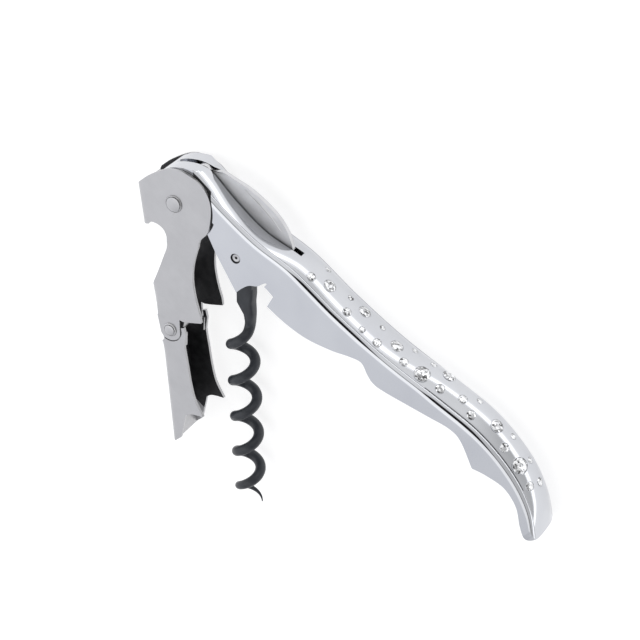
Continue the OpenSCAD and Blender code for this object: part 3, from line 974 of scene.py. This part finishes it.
CARRIED = {
    "knife_pin": PIN_STEEL,
    "knife_stop_pin": PIN_STEEL,
    "knife_washers": BRASS,
    "back_spring": SPRING_STEEL,
    "lever_bushing": BRASS,
    "lever_washers": BRASS,
    "lower_sleeve": PIN_STEEL,
    "lower_washers": BRASS,
    "worm_spacers": SPACER,
}
for node, look in CARRIED.items():
    piece = frame["nodes"][node]
    piece.data.materials.clear()
    piece.data.materials.append(look)

# ---- floor, light and camera ----


def make_floor():
    bm = bmesh.new()
    bmesh.ops.create_grid(bm, x_segments=4, y_segments=4, size=3.0)
    floor = from_bmesh("floor", bm, recalc=False)
    mat, shader = material("floor_pale_painted_glow", (0.45, 0.45, 0.455), 0, 0.9, Specular_IOR_Level=0.0,
                           Emission_Strength=1.0)
    vary(mat, shader, noise(mat, 0.002, 2), "Base Color", (0.44, 0.44, 0.445), (0.46, 0.46, 0.465))
    # the floor glows with painted light, most in a band past the handle's back: each level is at a place
    # along Y, in metres
    levels = [(0.050, 0.74), (0.062, 1.7), (0.100, 1.7), (0.140, 0.80)]
    nodes, links = mat.node_tree.nodes, mat.node_tree.links
    place, split, pool = [nodes.new("ShaderNode" + n) for n in ("TexCoord", "SeparateXYZ", "ValToRGB")]
    for k, (y, level) in enumerate(levels):
        e = pool.color_ramp.elements[k] if k < 1 else pool.color_ramp.elements.new(y)
        e.position, e.color = y, (level, level, level, 1)
    links.new(place.outputs["Object"], split.inputs["Vector"])
    links.new(split.outputs["Y"], pool.inputs["Fac"])
    links.new(pool.outputs["Color"], shader.inputs["Emission Color"])
    floor.data.materials.append(mat)


def make_world():
    """Soft studio surroundings, as long strips of light along X, with a dark strip on the +Y side."""
    world = bpy.data.worlds.new("studio")
    bpy.context.scene.world = world
    world.use_nodes = True
    nodes, links = world.node_tree.nodes, world.node_tree.links
    back = nodes["Background"]
    place = nodes.new("ShaderNodeTexCoord")
    split = nodes.new("ShaderNodeSeparateXYZ")
    angle = nodes.new("ShaderNodeMath")
    angle.operation = "ARCTAN2"
    shift = nodes.new("ShaderNodeMapRange")
    shift.inputs["From Min"].default_value = -math.pi
    shift.inputs["From Max"].default_value = math.pi
    ramp = nodes.new("ShaderNodeValToRGB")
    ramp.color_ramp.interpolation = "EASE"
    # each stop is an angle from straight up towards +Y, a level and a tint towards blue
    stops = [
        (-180, 0.60, 1.0), (-95, 0.95, 1.0), (-62, 1.0, 1.02), (-46, 0.88, 1.03), (-36, 0.94, 1.03),
        (-24, 1.10, 1.02), (-12, 0.90, 1.0), (9, 0.90, 1.0), (14, 0.75, 1.0), (18, 0.0, 1.0),
        (31, 0.01, 1.0), (38, 0.50, 1.0), (54, 0.85, 1.0), (80, 0.80, 1.0), (100, 0.80, 1.0),
        (180, 0.7, 1.0),
    ]
    elements = ramp.color_ramp.elements
    for k, (turn, level, blue) in enumerate(stops):
        e = elements[k] if k < 1 else elements.new((turn + 180) / 360)
        e.position = (turn + 180) / 360
        e.color = (level / blue ** 0.7, level / blue ** 0.3, level * blue, 1)
    links.new(place.outputs["Generated"], split.inputs["Vector"])
    links.new(split.outputs["Y"], angle.inputs[0])
    links.new(split.outputs["Z"], angle.inputs[1])
    links.new(angle.outputs["Value"], shift.inputs["Value"])
    links.new(shift.outputs["Result"], ramp.inputs["Fac"])
    links.new(ramp.outputs["Color"], back.inputs["Color"])
    # the light falls off from the head's side to the tail's
    fall = nodes.new("ShaderNodeMapRange")
    for socket, value in (("From Min", -0.3), ("From Max", 0.3), ("To Min", 1.22), ("To Max", 0.78)):
        fall.inputs[socket].default_value = value
    links.new(split.outputs["X"], fall.inputs["Value"])
    links.new(fall.outputs["Result"], back.inputs["Strength"])


def area(name, place, target, size, power):
    light = bpy.data.lights.new(name, "AREA")
    light.shape = "RECTANGLE"
    light.size, light.size_y = size
    light.energy = power
    lamp = bpy.data.objects.new(name, light)
    lamp.location = place
    lamp.rotation_mode = "QUATERNION"
    lamp.rotation_quaternion = (Vector(target) - Vector(place)).to_track_quat("-Z", "Y")
    bpy.context.scene.collection.objects.link(lamp)


def make_camera():
    """Looks down on the flat side from the handle's back, so that the handle runs down to the right."""
    # the view leans back by 39.5 degrees and is rolled by 47: these are their sines and cosines
    lean_sin = 0.636
    lean_cos = 0.772
    roll_sin = 0.731
    roll_cos = 0.682
    distance = 0.450
    target = at(43.14, 4.26, 0)
    view = Vector((0, lean_sin, lean_cos)).normalized()
    right = Vector((roll_cos, roll_sin * lean_cos, -roll_sin * lean_sin)).normalized()
    up = view.cross(right).normalized()
    camera = bpy.data.objects.new("camera", bpy.data.cameras.new("camera"))
    camera.matrix_world = Matrix((
        (right.x, up.x, view.x, 0), (right.y, up.y, view.y, 0), (right.z, up.z, view.z, 0), (0, 0, 0, 1)))
    camera.location = target + view * distance
    camera.data.lens = 108.84375
    camera.data.clip_start = 0.01
    camera.data.clip_end = 20
    bpy.context.scene.collection.objects.link(camera)
    bpy.context.scene.camera = camera


make_floor()
make_world()
area("key", (0, -0.05, 1.0), (0, 0, 0), (1.4, 0.6), 1.2)
make_camera()
bpy.context.scene.view_settings.view_transform = "Standard"
